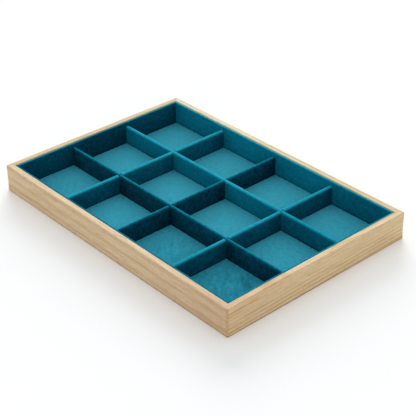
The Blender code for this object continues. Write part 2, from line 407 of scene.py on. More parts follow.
def make_rail(side):
    along, out, reach = side_ways(side)
    half = HALF_LENGTH + HALF_WIDTH - reach
    rail = copy_of(ring, "visual_rail_" + side)
    open_up(rail)
    for end in (-1, 1):
        cut_mitre(out * reach + along * end * half, (along * end - out).normalized())
    put_down()
    cut_with(rail, rooms)
    return rail


rails = {side: make_rail(side) for side in SIDES}
throw_away(ring, rooms)
for side, rail in rails.items():
    print("Rail", side, in_mm(rail.dimensions), "mm,", len(rail.data.polygons), "faces")

# %% [markdown]
# Cloth that rolls over a board
#
# The lining and the dividers are boards with velvet drawn over them: up one side, over a round top and
# down the other. A block with a rounded edge would look alike from above, but it would have no cloth to
# it. Here the near side is a standing grid, its top edge is spun half a turn over the board, and the end
# of that is drawn down the far side. Stretched velvet is never quite flat, so the sheet is pushed in and
# out by less than a tenth of a millimetre before it gets its thickness.

# %% A standing sheet, spun over the top
CLOTH_STEP = 2.5 * MM
ARCH_STEPS = 10


def steps_for(length):
    return max(1, round(length / CLOTH_STEP))


def cover_over(name, run, half, spring, near_foot, far_foot):
    """An open sheet along X: up the near side from its foot, over the top and down to the far foot."""
    height = spring - near_foot
    middle = (0, -half, near_foot + height / 2)
    put_down()
    bpy.ops.mesh.primitive_grid_add(x_subdivisions=steps_for(run), y_subdivisions=steps_for(height), size=1,
                                    location=middle, rotation=(math.pi / 2, 0, 0))
    bpy.ops.transform.resize(value=(run, 1, height))
    cover = settle(name)
    open_up(cover)
    choose_edges(lambda a, b: min(a.z, b.z) > spring - TINY)
    bpy.ops.mesh.spin(steps=ARCH_STEPS, angle=math.pi, center=(0, 0, spring), axis=(1, 0, 0))
    fall = spring - far_foot
    for _ in range(steps_for(fall)):
        extrude_by(z=-fall / steps_for(fall))
    close_up()
    return cover


def stand_at(obj, place, turn):
    """Turns a piece made along X to its side, and moves it to its place."""
    pick_up(obj)
    obj.rotation_euler.z = turn
    obj.location = (*place.xy, 0)
    return settle(obj.name)


def unfolded(half, spring, near_foot, far_foot):
    """How wide a strip the cover is cut from, measured in the middle of its thickness."""
    return (spring - near_foot) + math.pi * (half - VELVET / 2) + (spring - far_foot)


def tell_cut(cover, flat):
    print(cover.name, "cut to", in_mm(flat), "mm,", len(cover.data.polygons), "faces")


# %% Unevenness and thickness
PULL = 0.08 * MM
PULL_WIDTH = 18 * MM
pull_pattern = bpy.data.textures.new("pull_of_the_cloth", "CLOUDS")
pull_pattern.noise_scale = PULL_WIDTH
pull_pattern.noise_depth = 1


def pull_uneven(cloth):
    apply_modifier(cloth, "DISPLACE", texture=pull_pattern, texture_coords="LOCAL",
                   strength=2 * PULL, mid_level=0.5)


def thicken(cloth):
    """Gives the sheet its thickness, on the side towards the board."""
    apply_modifier(cloth, "SOLIDIFY", thickness=VELVET, offset=-1, use_even_offset=True)


# %% [markdown]
# Four wall linings
#
# Each lining covers a card that stands against its rail. Only the side towards the compartments goes down
# to the floor. Behind the card the velvet is turned down a little and glued. The two long linings run the
# whole length, and the short ones stand between them, as the model says.

# %% Wall linings


def make_lining(side):
    velvet = "liner_velvet_" + side
    low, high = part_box(velvet)
    thickness = min(high.x - low.x, high.y - low.y)
    run = max(high.x - low.x, high.y - low.y)
    half = thickness / 2
    spring = high.z - half
    heights = [corner.co.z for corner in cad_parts[velvet].data.vertices]
    turn_down = min(height for height in heights if height > low.z + MM)
    cover = cover_over("lining_" + side, run, half, spring, low.z, turn_down)
    stand_at(cover, middle_of(velvet), math.radians(SIDES[side] + 180))
    pull_uneven(cover)
    thicken(cover)
    return cover, (run, unfolded(half, spring, low.z, turn_down))


linings = {"liner_velvet_" + side: make_lining(side) for side in SIDES}
for cover, flat in linings.values():
    tell_cut(cover, flat)

# %% [markdown]
# The two long dividers
#
# The dividers are halved together like the cardboard in a wine crate. The long ones are slotted from
# below, so their velvet runs unbroken over the crossings, which is what the picture shows. The slots are
# cut after the cover has its thickness, with plain boxes, because their edges stay hidden.

# %% Long dividers
LONG = ("long_divider_velvet_1", "long_divider_velvet_2")
CROSS = ("cross_divider_velvet_1", "cross_divider_velvet_2", "cross_divider_velvet_3")
LONG_LOW, LONG_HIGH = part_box(LONG[0])
DIVIDER_HALF = (LONG_HIGH.y - LONG_LOW.y) / 2
DIVIDER_TOP = LONG_HIGH.z
DIVIDER_FOOT = LONG_LOW.z
DIVIDER_SPRING = DIVIDER_TOP - DIVIDER_HALF
LAP = (DIVIDER_TOP + DIVIDER_FOOT) / 2
PILE_GAP = 0.05 * MM
THROUGH = 2 * RAIL


def block(name, width, depth, foot, top):
    """A plain block over the middle of the tray."""
    put_down()
    bpy.ops.mesh.primitive_cube_add(size=1, location=(0, 0, (foot + top) / 2),
                                    scale=(width, depth, top - foot))
    return settle(name)


def cut_slots(divider, cutter, places):
    """Cuts a slot at each place with the same cutter, and throws the cutter away."""
    for place in places:
        cutter.location = place
        cut_with(divider, cutter)
    throw_away(cutter)


def cut_to(run):
    """The strip that a divider's cover is cut from."""
    return run, unfolded(DIVIDER_HALF, DIVIDER_SPRING, DIVIDER_FOOT, DIVIDER_FOOT)


def make_long_divider(velvet):
    low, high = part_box(velvet)
    run = high.x - low.x
    name = velvet.replace("velvet", "cover")
    cover = cover_over(name, run, DIVIDER_HALF, DIVIDER_SPRING, DIVIDER_FOOT, DIVIDER_FOOT)
    stand_at(cover, middle_of(velvet), 0)
    pull_uneven(cover)
    thicken(cover)
    slot = 2 * (DIVIDER_HALF + PILE_GAP)
    cutter = block("slot_cutter", slot, THROUGH, DIVIDER_FOOT - MM, LAP + FIT_GAP / 2)
    cut_slots(cover, cutter, [(middle_of(name).x, middle_of(velvet).y, 0) for name in CROSS])
    return cover, cut_to(run)


long_dividers = {velvet: make_long_divider(velvet) for velvet in LONG}
for cover, flat in long_dividers.values():
    tell_cut(cover, flat)

# %% [markdown]
# The three cross dividers
#
# A cross divider is slotted from the top, and its velvet ends in a soft round shoulder on each side of a
# long divider. A bare cut would show the board between two thin skins of cloth. So two solids are made
# with the same steps, one as big as the cloth and one as big as the board, and the second is taken out of
# the first. What is left is a skin that also covers the cut ends of the board at its slots.

# %% An arched board with rounded slots
SHOULDER = 0.5 * MM
SHOULDER_STEPS = 6


def arched_block(name, run, half, foot, top):
    arched = block(name, run, 2 * half, foot, top)
    open_up(arched)
    choose_edges(lambda a, b: min(a.z, b.z) > top - TINY and abs(a.x - b.x) > TINY)
    bpy.ops.mesh.bevel(offset=half, segments=ARCH_STEPS // 2, affect="EDGES", clamp_overlap=False)
    bpy.ops.mesh.select_all(action="SELECT")
    bpy.ops.mesh.remove_doubles(threshold=MERGE_WITHIN)
    choose_edges(lambda a, b: abs(a.x - b.x) > TINY)
    bpy.ops.mesh.subdivide(number_cuts=steps_for(run) - 1)
    choose_edges(lambda a, b: abs(a.z - b.z) > top - half - foot - TINY)
    bpy.ops.mesh.subdivide(number_cuts=steps_for(top - foot) - 1)
    put_down()
    return arched


def mouth_cutter(half, floor, top, shoulder):
    """A cutter for a slot from the top, whose mouth widens in a quarter circle."""
    cutter = block("slot_cutter", 2 * half, THROUGH, floor, top - shoulder)
    open_up(cutter)
    choose_faces(looks_up)
    wide, risen = half, 0
    for step in range(1, SHOULDER_STEPS + 1):
        angle = math.pi / 2 * step / SHOULDER_STEPS
        next_wide = half + shoulder * (1 - math.cos(angle))
        next_risen = shoulder * math.sin(angle)
        extrude_by(z=next_risen - risen)
        bpy.ops.transform.resize(value=(next_wide / wide, 1, 1), center_override=(0, 0, 0))
        wide, risen = next_wide, next_risen
    extrude_by(z=MM)
    put_down()
    return cutter


# %% Cross dividers
BOARD_LOW, BOARD_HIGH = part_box("cross_divider_board_1")
BOARD_HALF = (BOARD_HIGH.x - BOARD_LOW.x) / 2
BOARD_SLOT_HALF = DIVIDER_HALF + FIT_GAP
SLOT_FLOOR = LAP - FIT_GAP / 2
ROOM = 0.06 * MM


def make_cross_divider(velvet):
    low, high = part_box(velvet)
    run = high.y - low.y
    places = [(middle_of(name).y, 0, 0) for name in LONG]
    cover = arched_block(velvet.replace("velvet", "cover"), run, DIVIDER_HALF, DIVIDER_FOOT, DIVIDER_TOP)
    outer = mouth_cutter(DIVIDER_HALF + PILE_GAP, SLOT_FLOOR, DIVIDER_TOP, SHOULDER)
    cut_slots(cover, outer, places)
    hollow = arched_block("hollow", run + 2 * MM, BOARD_HALF + ROOM, DIVIDER_FOOT - MM, BOARD_HIGH.z + ROOM)
    inner = mouth_cutter(BOARD_SLOT_HALF - ROOM, SLOT_FLOOR + ROOM, DIVIDER_TOP + ROOM, SHOULDER + ROOM)
    cut_slots(hollow, inner, places)
    cut_with(cover, hollow)
    throw_away(hollow)
    stand_at(cover, middle_of(velvet), math.pi / 2)
    return cover, cut_to(run)


cross_dividers = {velvet: make_cross_divider(velvet) for velvet in CROSS}
for cover, flat in cross_dividers.values():
    tell_cut(cover, flat)

# %% [markdown]
# The floor
#
# One sheet of velvet is glued to a card and laid in before the dividers. It could be a flat box, but then
# the light would slide over it without a trace. A fine grid, pushed up and down a little and then given
# its thickness, takes the light as real cloth does.

# %% Floor velvet


def make_floor():
    low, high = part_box("floor_velvet")
    length, width = high.x - low.x, high.y - low.y
    put_down()
    bpy.ops.mesh.primitive_grid_add(x_subdivisions=steps_for(length), y_subdivisions=steps_for(width),
                                    size=1, location=(0, 0, high.z))
    bpy.ops.transform.resize(value=(length, width, 1))
    floor = settle("floor_cloth")
    pull_uneven(floor)
    thicken(floor)
    return floor, (length, width)


sheets = {"floor_velvet": make_floor(), **linings, **long_dividers, **cross_dividers}
tell_cut(*sheets["floor_velvet"])
print("Pieces of velvet in all:", len(sheets))

# %% [markdown]
# Maths inside a material
#
# A procedural material is a sum done at every point of a surface. Node by node it is hard to read, so a
# small class wraps a socket and lets Python's own signs add the Math nodes. A second class holds a tree
# of nodes, and has one method that adds any other node from its type, its settings and the values of its
# sockets. A finish is such a tree with a material round it. Places and sizes on a finish are given in
# millimetres, and the scale of a pattern in waves per metre.

# %% Number, Nodes and Finish


class Number:
    """The output of a node, which may vary over a surface."""

    def __init__(self, nodes, socket):
        self.nodes = nodes
        self.socket = socket

    def __add__(self, other):
        return self.nodes.maths("ADD", self, other)

    __radd__ = __add__

    def __mul__(self, other):
        return self.nodes.maths("MULTIPLY", self, other)

    __rmul__ = __mul__

    def __sub__(self, other):
        return self.nodes.maths("SUBTRACT", self, other)

    def __rsub__(self, other):
        return self.nodes.maths("SUBTRACT", other, self)

    def __truediv__(self, other):
        return self.nodes.maths("DIVIDE", self, other)

    def __pow__(self, other):
        return self.nodes.maths("POWER", self, other)


class Nodes:
    """A tree of nodes under construction."""

    def __init__(self, tree):
        self.tree = tree

    def node(self, kind, settings=None, sockets=None, out=0):
        """Adds a node. Its settings come first, then its sockets by name or number."""
        node = self.tree.nodes.new(kind)
        for name, value in (settings or {}).items():
            if name == "stops":
                set_stops(node.color_ramp, value)
            else:
                setattr(node, name, value)
        for name, value in (sockets or {}).items():
            self.feed(node.inputs[name], value)
        return Number(self, node.outputs[out])

    def feed(self, socket, value):
        if isinstance(value, Number):
            self.tree.links.new(value.socket, socket)
        else:
            socket.default_value = value

    def maths(self, operation, *values):
        return self.node("ShaderNodeMath", {"operation": operation}, dict(enumerate(values)))


class Finish(Nodes):
    """A material under construction."""

    def __init__(self, name):
        self.material = bpy.data.materials.new(name)
        self.material.use_nodes = True
        super().__init__(self.material.node_tree)
        self.shader = self.tree.nodes["Principled BSDF"]

    def set(self, **sockets):
        """Sets or links sockets of the shader, with spaces written as underscores."""
        for name, value in sockets.items():
            self.feed(self.shader.inputs[name.replace("_", " ")], value)


def set_stops(ramp, stops):
    """Gives a colour ramp its stops, as (place, colour) pairs."""
    while len(ramp.elements) < len(stops):
        ramp.elements.new(0.5)
    for element, (place, colour) in zip(ramp.elements, stops):
        element.position = place
        element.color = (*colour, 1)


# %% Patterns that every finish uses


def stretched(finish, place, stretch):
    return finish.node("ShaderNodeVectorMath", {"operation": "MULTIPLY"}, {0: place, 1: stretch})


def object_place(finish, turn=0, shift=(0, 0, 0)):
    """Object coordinates, turned about Z and then shifted."""
    place = finish.node("ShaderNodeTexCoord", out="Object")
    return finish.node("ShaderNodeMapping", {"vector_type": "POINT"},
                       {"Vector": place, "Location": shift, "Rotation": (0, 0, turn)})


def split(finish, vector):
    """The three parts of a vector, as numbers."""
    node = finish.node("ShaderNodeSeparateXYZ", None, {0: vector}).socket.node
    return [Number(finish, output) for output in node.outputs]


def noise(finish, place, scale, detail=2.0, roughness=0.5):
    return finish.node("ShaderNodeTexNoise", None,
                       {"Vector": place, "Scale": scale, "Detail": detail, "Roughness": roughness})


def smooth_step(finish, value, low, high):
    """Rises softly from 0 at low to 1 at high."""
    return finish.node("ShaderNodeMapRange", {"interpolation_type": "SMOOTHSTEP"},
                       {"Value": value, "From Min": low, "From Max": high})


def mix(finish, factor, one, other):
    """One colour turning into another."""
    return finish.node("ShaderNodeMix", {"data_type": "RGBA"}, {0: factor, 6: one, 7: other}, out=2)


def ramp(finish, factor, stops):
    return finish.node("ShaderNodeValToRGB", {"stops": stops}, {0: factor})


def bump(finish, height, distance, strength=1.0):
    sockets = {"Height": height, "Distance": distance, "Strength": strength}
    return finish.node("ShaderNodeBump", None, sockets)


def dress(obj, finish):
    """Gives an object one material."""
    obj.data.materials.clear()
    obj.data.materials.append(finish.material)


# %% [markdown]
# Wood
#
# Wood can be faked with streaks, but streaks that run round a corner give the game away. A rail is a
# stick cut from a trunk, so its lines are the trunk's growth rings, wherever they come to the surface.
# Each rail has the middle of its trunk at its own place below it, and its own width of ring: wide rings
# show as a few broad bands, narrow ones as many straight lines. Real sticks also have darker streaks of
# their own, so a short list of them is laid inside the wood, each from one point to another, and shows
# where it comes near a face.
#
# Each darker part multiplies the colour by what it leaves of red, green and blue: rings leave less blue,
# and pores less of all. The upright edges at the corners and the foot are a little darker: painted shade
# where the rounded arris turns from the light and where the rail meets the ground. Painted shade also
# darkens each rail a little towards the tray's near corner.

# %% Pale wood
RING_LEAVES = (0.78, 0.68, 0.49, 1)
# What a grain streak leaves of each colour; the painted shade at the arrises and the foot uses it too.
STREAK_AND_SHADE_LEAVES = (0.80, 0.68, 0.46, 1)
FIBRE_LEAVES = (0.80, 0.71, 0.56, 1)
PORE_LEAVES = (0.72, 0.62, 0.48, 1)
SHADE_LEAVES = (0.40, 0.0, 0.0, 1)
ARRIS_SHADE_WIDTH = 3.0
ARRIS_SHADE_STRENGTH = 0.6
FOOT_SHADE_RISE = (0.6, 2.0)
FOOT_SHADE_STRENGTH = 0.8
FIBRE_STRENGTH = 0.75
PORE_STRENGTH = 0.5
STREAK_BEGINS_OVER = 5
STREAK_FADES_FROM = 0.6
LINES_CHANGE = (6, 22)
WANDER_BY = 1.4
WANDER_PER_METRE = (7, 70, 70)
CLOUDS_PER_METRE = (9, 60, 60)
FIBRES_PER_METRE = (30, 700, 700)
PORES_PER_METRE = (160, 1400, 1400)
LATE_WOOD_BEGINS = (0.45, 0.82)
LATE_WOOD_ENDS = (0.88, 1.0)
FIBRES_SHOW = (0.36, 0.68)
PORES_SHOW = (0.56, 0.68)
# In darker: where along the rail painted shade grows towards the tray's near corner, and how much.
GRAIN = {
    "front": {"tone": (0.745, 0.590, 0.397), "trunk": (-86, -180), "ring": 10.4, "first": 0.11,
              "rise": 0.0, "lines": (0.45, 0.45), "darker": (40, 175, 0.14)},
    "right": {"tone": (0.770, 0.609, 0.389), "trunk": (27, -240), "ring": 4.45, "first": 0.25,
              "rise": 0.0167, "lines": (0.95, 0.25), "darker": (0, -120, 0.08)},
    "back": {"tone": (0.757, 0.627, 0.419), "trunk": (-60, -150), "ring": 6.0, "first": 0.55,
             "rise": 0.004, "lines": (0.60, 0.30), "darker": (0, 175, 0.0)},
    "left": {"tone": (0.643, 0.499, 0.279), "trunk": (40, -160), "ring": 5.0, "first": 0.20,
             "rise": 0.006, "lines": (0.60, 0.30), "darker": (0, 120, 0.0)},
}
STREAKS = {
    "front": [((-176, 0, 8.4), (-50, 0, 7.2), (4.0, 1.5), 0.55)],
    "right": [((-121, 0, 24.7), (-62, 0, 24.0), (3.0, 1.2), 0.90),
              ((16, 7, 31), (68, 0, 31), (1.8, 3.0), 0.75),
              ((-78, 4, 31), (-54, 3, 31), (6.0, 1.6), 0.60),
              ((-52, 4, 31), (-38, 3, 31), (6.0, 1.6), 0.50),
              ((60, 5.8, 31), (130, 5.8, 31), (1.4, 3.0), 0.55)],
    "back": [((17, 2.6, 31), (-230, 2.6, 31), (1.4, 3.0), 0.75)],
    "left": [],
}


def darken(finish, factor, colour, leaves):
    """Takes a share of each part of a colour away."""
    return finish.node("ShaderNodeMix", {"data_type": "RGBA", "blend_type": "MULTIPLY"},
                       {0: factor, 6: colour, 7: leaves}, out=2)


def streak_of(finish, place, begin, end, size):
    """1 along a streak inside the wood from one point to another, 0 around it and past its ends."""
    x, y, z = place
    along = (x - begin[0]) / (end[0] - begin[0])
    off_y = (y - begin[1] - along * (end[1] - begin[1])) / size[0]
    off_z = (z - begin[2] - along * (end[2] - begin[2])) / size[1]
    core = 1 - smooth_step(finish, off_y * off_y + off_z * off_z, 0.0, 1.0)
    length = abs(end[0] - begin[0])
    begins = smooth_step(finish, along, 0.0, min(0.3, STREAK_BEGINS_OVER / length))
    ends = 1 - smooth_step(finish, along, STREAK_FADES_FROM, 1.0)
    return core * begins * ends


def pale_wood(side):
    """Wood for one rail: x runs along it from its middle, y inwards from its outer face, and z up."""
    finish = Finish("pale_wood_" + side)
    grain = GRAIN[side]
    reach = side_ways(side)[2]
    place = object_place(finish, turn=-math.radians(SIDES[side]), shift=(0, reach, 0))
    x, y, z = [part / MM for part in split(finish, place)]
    wander = noise(finish, stretched(finish, place, WANDER_PER_METRE), 1, detail=1) - 0.5
    cloud = noise(finish, stretched(finish, place, CLOUDS_PER_METRE), 1, detail=1)
    fibres = noise(finish, stretched(finish, place, FIBRES_PER_METRE), 1, detail=3, roughness=0.65)
    pores = noise(finish, stretched(finish, place, PORES_PER_METRE), 1, detail=1)
    pores = smooth_step(finish, pores, *PORES_SHOW)

    from_y = y - grain["trunk"][0]
    from_z = z - grain["trunk"][1] - x * grain["rise"]
    radius = (from_y * from_y + from_z * from_z) ** 0.5 + wander * WANDER_BY
    turn_of_ring = finish.maths("FRACT", radius / grain["ring"] + grain["first"])
    late = smooth_step(finish, turn_of_ring, *LATE_WOOD_BEGINS)
    late = late * (1 - smooth_step(finish, turn_of_ring, *LATE_WOOD_ENDS))
    low_lines, high_lines = grain["lines"]
    higher = smooth_step(finish, z, *LINES_CHANGE)
    lines = late * (low_lines + (high_lines - low_lines) * higher) * (0.7 + cloud * 0.6)

    begin, end, amount = grain["darker"]
    colour = darken(finish, lines, grain["tone"] + (1,), RING_LEAVES)
    shown_fibres = smooth_step(finish, fibres, *FIBRES_SHOW)
    colour = darken(finish, shown_fibres * FIBRE_STRENGTH, colour, FIBRE_LEAVES)
    for *course, strength in STREAKS[side]:
        colour = darken(finish, streak_of(finish, (x, y, z), *course) * strength, colour, STREAK_AND_SHADE_LEAVES)
    # Painted shade, growing towards the tray's near corner.
    colour = darken(finish, smooth_step(finish, x, begin, end) * amount, colour, SHADE_LEAVES)
    half = (HALF_LENGTH + HALF_WIDTH - reach) / MM
    # Painted shade along the upright edges at the corners, where the rounded arris turns from the light.
    arris_shade = smooth_step(finish, finish.maths("ABSOLUTE", x), half - ARRIS_SHADE_WIDTH, half)
    arris_shade = arris_shade * (1 - smooth_step(finish, y, 0, ARRIS_SHADE_WIDTH))
    # Painted contact shade along the foot, where the rail meets the ground.
    foot_in_shade = 1 - smooth_step(finish, z, *FOOT_SHADE_RISE)
    colour = darken(finish, arris_shade * ARRIS_SHADE_STRENGTH + foot_in_shade * FOOT_SHADE_STRENGTH, colour, STREAK_AND_SHADE_LEAVES)
    finish.set(Base_Color=darken(finish, pores * PORE_STRENGTH, colour, PORE_LEAVES),
               Roughness=0.52 + (fibres - 0.5) * 0.2 - lines * 0.05,
               Normal=bump(finish, fibres * 0.5 + lines * 0.3 - pores * 0.6, 0.03 * MM, 0.6),
               Specular_IOR_Level=0.10)
    return finish


for side, rail in rails.items():
    dress(rail, pale_wood(side))
print("Wood finishes:", [rail.active_material.name for rail in rails.values()])

# %% [markdown]
# Velvet
#
# Velvet is a lawn of upright fibres. Looked at from above it swallows light, and where the fibres lean it
# turns pale, so one dye gives many tones. A single colour with a strong sheen would give only the rim of
# light. Here a ramp holds all the tones of the dye, lit and in shade, and a number from 0, deep in the
# pile, to 1, brushed towards the light, says which one a point has. So the light and shade on the pile are
# painted into its colour.
#
# Most of that number comes from how the cloth stands. The pile on a divider leans to one side, and how it
# takes the light is painted in: a highlight on that side of the roll's top and shade down its sides.
# Painted shade also darkens the pile low down, at the foot, and in the back left corner of each
# compartment, and painted light makes the floor paler away from the front right corner of each one.

# %% Velvet
PILE_TONES = [
    (0.00, (0.0006, 0.014, 0.026)),
    (0.20, (0.0010, 0.062, 0.105)),
    (0.45, (0.0020, 0.171, 0.251)),
    (0.65, (0.0040, 0.262, 0.388)),
    (0.80, (0.0130, 0.330, 0.455)),
    (1.00, (0.0350, 0.450, 0.595)),
]
WORN_PILE = (0.075, 0.370, 0.490, 1)
WORN_WHERE_PALE = 0.4
SHEEN_TINT = (0.15, 0.75, 0.90, 1)
NAP_HEIGHT = 0.12 * MM
LOW_SHADE_HEIGHTS = (4, 22)
LOW_SHADE_SHARE = 0.6
FOOT = (4.2, 7.5)
CORNER_SHADE_REACH = 24
CORNER_SHADE_TOP = (20, 25)
PAINTED_LIGHT_REACH = (20, 70)
WIDE_PER_METRE = 22
CLOSE_PER_METRE = 260
NAP_PER_METRE = 900
WIDE_SHARE = 0.16
CLOSE_SHARE = 0.36
NAP_SHARE = 0.50
RUBBED_PER_METRE = (70, 98, 70)
STROKES_PER_METRE = (90, 330, 330)
STROKES_TURN = math.radians(45)
GRID_X = middle_of(CROSS[1]).x - middle_of(CROSS[0]).x
GRID_Y = middle_of(LONG[1]).y - middle_of(LONG[0]).y


def from_corners(finish, x, y):
    """How far a point is, in mm, from the back left and the front right corner of its own compartment."""
    column = finish.maths("FRACT", (x - middle_of(CROSS[0]).x / MM) / (GRID_X / MM))
    row = finish.maths("FRACT", (y - middle_of(LONG[0]).y / MM) / (GRID_Y / MM))
    wall = DIVIDER_HALF / MM
    from_left, from_right = column * (GRID_X / MM) - wall, (1 - column) * (GRID_X / MM) - wall
    from_front, from_back = row * (GRID_Y / MM) - wall, (1 - row) * (GRID_Y / MM) - wall
    back_left = (from_left * from_left + from_back * from_back) ** 0.5
    front_right = (from_right * from_right + from_front * from_front) ** 0.5
    return back_left, front_right


def brushed_patch(finish, place, middle, size, turn=0):
    """1 in the middle of an oval patch on the floor, falling softly to 0 at its edge."""
    centred = finish.node("ShaderNodeMapping", {"vector_type": "TEXTURE"},
                          {"Vector": place,
                           "Location": (middle[0] * MM, middle[1] * MM, 0),
                           "Rotation": (0, 0, math.radians(turn)),
                           "Scale": (size[0] * MM, size[1] * MM, 1)})
    x, y, _ = split(finish, centred)
    return 1 - smooth_step(finish, x * x + y * y, 0.0, 1.0)


def standing_tone(finish, place, side_tone, top_tone, lean=(0, 0, 1), turn_over=(0.0, 0.85), shade_depth=0.08,
                  foot_shade=0.3, painted_light=0.0):
    """The tone of smooth pile, with light and shade painted in: a highlight where it faces its lean,
    shade low down, at the foot and in a corner, and light away from the front right of a compartment.
    """
    x, y, z = [part / MM for part in split(finish, place)]
    # Painted highlight and shade: the pile is paler as its normal turns towards its lean.
    normal = finish.node("ShaderNodeNewGeometry", out="Normal")
    facing = finish.node("ShaderNodeVectorMath", {"operation": "DOT_PRODUCT"},
                         {0: normal, 1: Vector(lean).normalized()}, out="Value")
    tone = side_tone + (top_tone - side_tone) * smooth_step(finish, facing, *turn_over)
    back_left, front_right = from_corners(finish, x, y)
    # Painted shade low down on the walls and floor of a compartment.
    low_shade = 1 - smooth_step(finish, z, *LOW_SHADE_HEIGHTS)
    # Painted shade in the back left corner of each compartment.
    corner_shade = 1 - smooth_step(finish, back_left, 0, CORNER_SHADE_REACH)
    corner_shade = corner_shade * (1 - smooth_step(finish, z, *CORNER_SHADE_TOP))
    # Painted contact shade along the foot of each wall.
    foot_in_shade = 1 - smooth_step(finish, z, *FOOT)
    tone = tone - shade_depth * (low_shade * LOW_SHADE_SHARE + corner_shade)
    # Painted light: paler away from the front right corner of each compartment.
    tone = tone + smooth_step(finish, front_right, *PAINTED_LIGHT_REACH) * painted_light
    return tone * (1 - foot_in_shade * foot_shade)


def velvet(name, side_tone, top_tone, mottle=1.0, worn=0.0, patches=(), tossed=(), **standing):
    """Velvet with its own tones, and with patches that are brushed, tossed or worn."""
    finish = Finish(name)
    place = object_place(finish)
    tone = standing_tone(finish, place, side_tone, top_tone, **standing)
    wide = noise(finish, place, WIDE_PER_METRE, detail=2) - 0.5
    close = noise(finish, place, CLOSE_PER_METRE, detail=3, roughness=0.6) - 0.5
    nap = noise(finish, place, NAP_PER_METRE, detail=3, roughness=0.7) - 0.5
    tone = tone + wide * WIDE_SHARE + close * (CLOSE_SHARE * mottle) + nap * NAP_SHARE
    brushed = sum(brushed_patch(finish, place, middle, size, turn) * strength
                  for middle, size, turn, strength in patches)
    turned = stretched(finish, object_place(finish, turn=STROKES_TURN), STROKES_PER_METRE)
    strokes = noise(finish, turned, 1) - 0.5
    for middle, size, turn, strength in tossed:
        tone = tone + strokes * brushed_patch(finish, place, middle, size, turn) * strength
    colour = ramp(finish, tone + brushed, PILE_TONES)
    if worn:
        rubbed = noise(finish, stretched(finish, place, RUBBED_PER_METRE), 1, detail=3, roughness=0.6)
        colour = mix(finish, (rubbed + 0.5) * worn + brushed * WORN_WHERE_PALE, colour, WORN_PILE)
    finish.set(Base_Color=colour, Roughness=0.9 + nap * 0.2,
               Normal=bump(finish, nap + close * 0.6, NAP_HEIGHT, 0.7), Specular_IOR_Level=0.0,
               Sheen_Weight=0.20, Sheen_Roughness=0.4, Sheen_Tint=SHEEN_TINT)
    return finish


# %% [markdown]
# Every piece was cut and laid its own way, and stands its own way to the light, so each has its own tones:
# partly the lie of its pile, and partly painted light and shade. The floor's pile is tossed about a
# little everywhere, and more in the two compartments at the front that have been handled, where a finger
# has left a few oval marks. A mark is given by its middle and its size in mm, how far it is turned, and
# how much darker or paler it is. The floor is also a little worn all over, which lets the paler ground of
# the cloth show.

# %% Tones of each piece, and brushed patches
FLOOR_PATCHES = [
    ((125, -75), (62, 60), 0, -0.26),
    ((42, -75), (60, 50), 0, -0.17),
    ((125, 0), (48, 180), 0, -0.07),
    ((-125, -75), (60, 50), 0, -0.05),
    ((30.4, -62.5), (3.4, 1.8), -45, -0.24),
    ((54, -65), (9, 20), 0, -0.08),
    ((128, -51), (16, 8), -38, -0.17),
    ((120, -47), (9, 1.6), -39, 0.14),
    ((122, -66), (7, 6), 0, 0.09),
    ((115.7, -63), (4, 1.8), -45, -0.14),
    ((116, -81), (2.2, 2.6), 0, -0.20),
    ((140, -72), (9, 6), -40, -0.07),
]
TOSSED = [((0, 0), (600, 600), 0, 0.22), ((125, -65), (60, 55), 0, 0.55), ((55, -65), (45, 45), 0, 0.3)]
# Which way each divider's pile leans, which sets where its painted highlight sits on the roll.
BACKWARDS = {"lean": (0, 0.85, 0.53), "turn_over": (-0.9, 1.4), "mottle": 1.3}
LEFTWARDS = {"lean": (-0.85, 0, 0.53), "turn_over": (-0.9, 1.4), "mottle": 1.3}
STAND_BACK = {"lean": (0, 0.3, 0.95), "turn_over": (-0.6, 0.75)}
STAND_LEFT = {"lean": (-0.3, 0, 0.95), "turn_over": (-0.6, 0.75)}
STAND_UP = {"lean": (-0.15, 0, 0.99), "turn_over": (-0.35, 0.85)}
LONG_2_PATCHES = [((125, 37.6), (62, 30), 0, -0.13)]
BACK_PATCHES = [((140, 110), (70, 30), 0, -0.11)]
LEFT_PATCHES = [((-165, 0), (30, 45), 0, -0.08)]

# The side and top tones of each piece are partly painted light and shade, paler or darker as light falls.
TONES = {
    "floor_velvet": (0.50, 0.867, {"mottle": 1.7, "worn": 0.45, "patches": FLOOR_PATCHES, "tossed": TOSSED,
                                   "foot_shade": 0, "painted_light": 0.15}),
    "liner_velvet_front": (0.58, 0.46, {}),
    "liner_velvet_right": (0.60, 0.56, {}),
    "liner_velvet_back": (0.47, 0.86, {"shade_depth": 0.03, "patches": BACK_PATCHES}),
    "liner_velvet_left": (0.20, 0.66, {"shade_depth": 0.045, "patches": LEFT_PATCHES}),
    "long_divider_velvet_1": (0.14, 0.66, BACKWARDS),
    "long_divider_velvet_2": (0.375, 0.84, {"shade_depth": 0.03, "patches": LONG_2_PATCHES, **STAND_BACK}),
    "cross_divider_velvet_1": (0.19, 0.84, {"shade_depth": 0.06, **STAND_LEFT}),
    "cross_divider_velvet_2": (0.13, 0.66, LEFTWARDS),
    "cross_divider_velvet_3": (0.175, 0.79, {"shade_depth": 0.045, **STAND_UP}),
}

for node, (cover, flat) in sheets.items():
    side_tone, top_tone, settings = TONES[node]
    dress(cover, velvet("velvet_of_" + cover.name, side_tone, top_tone, **settings))
print("Velvet finishes:", [cover.active_material.name for cover, flat in sheets.values()])

# %% [markdown]
# Card, hardboard, tongues and steel
#
# These hardly show from above, but the underside is nearly all hardboard with ten brad heads in it.
# Hardboard is pressed from brown fibres, so it gets short flecks along and across the board. Card is grey
# with paler specks, the tongues are plain wood, and the brads are drawn wire.

# %% Hidden materials


